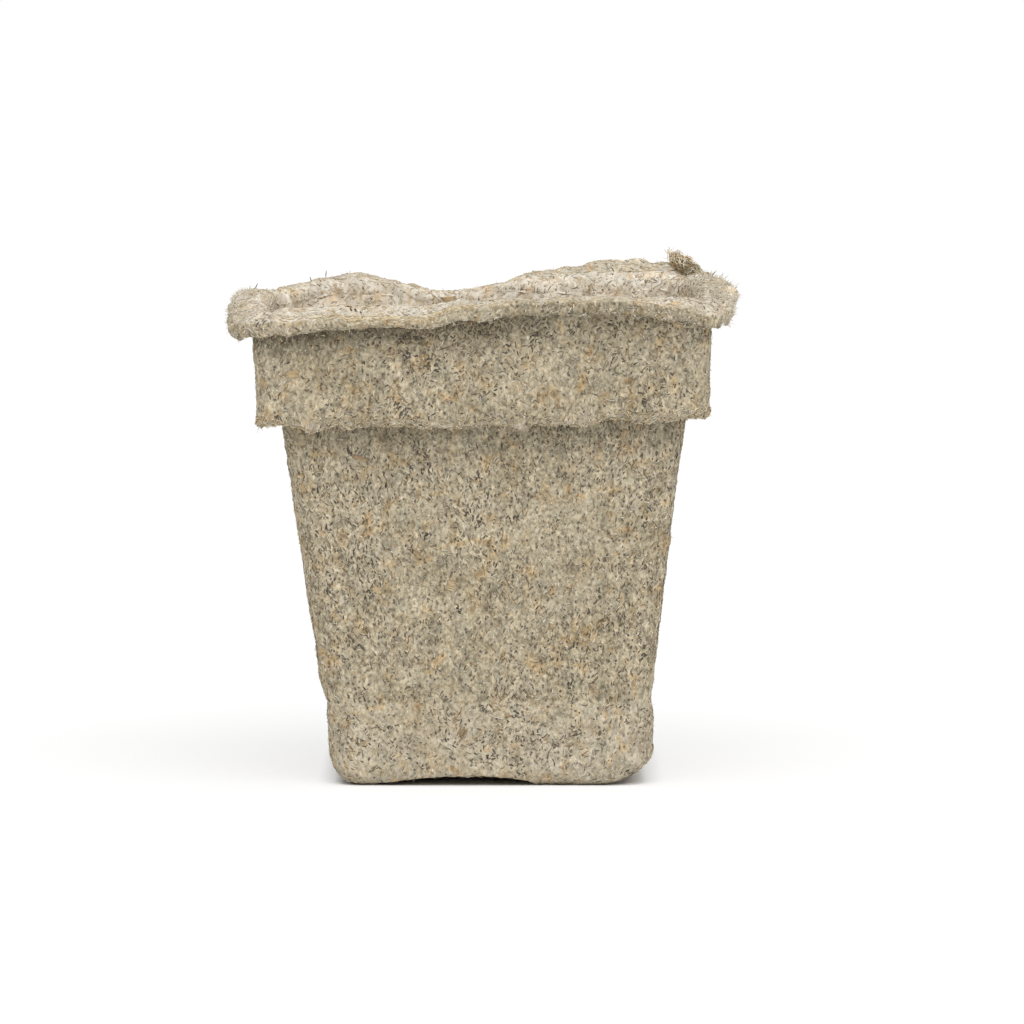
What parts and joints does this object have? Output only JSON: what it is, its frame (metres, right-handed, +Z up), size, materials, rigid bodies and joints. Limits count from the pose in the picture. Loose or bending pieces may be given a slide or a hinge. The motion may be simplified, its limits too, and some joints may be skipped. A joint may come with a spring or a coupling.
{
  "type": "square seedling pot",
  "caption": "Square moulded wood-fibre seedling pot with tapered walls, a stepped stacking collar, a wavy torn rim flange and a drain hole in its raised floor.",
  "frame": {"origin": "under the middle of the rim, on the surface that the pot stands on", "axes": "+Z up through the mouth, -Y to the front, +X to the right seen from the front"},
  "size_m": [0.0831, 0.083, 0.0847],
  "materials": {
    "fibre_wall": "matt felted wood fibre with dark flecks",
    "fibre_rim": "paler loose felted wood fibre, torn at the edge",
    "fibre_tuft": "matted brown fibre"
  },
  "bodies": {
    "root": {"floor_panel": "fibre_wall", "foot": "fibre_wall", "walls": "fibre_wall", "collar": "fibre_wall", "rim_flange": "fibre_rim", "fibre_tuft": "fibre_tuft"}
  },
  "joints": []
}
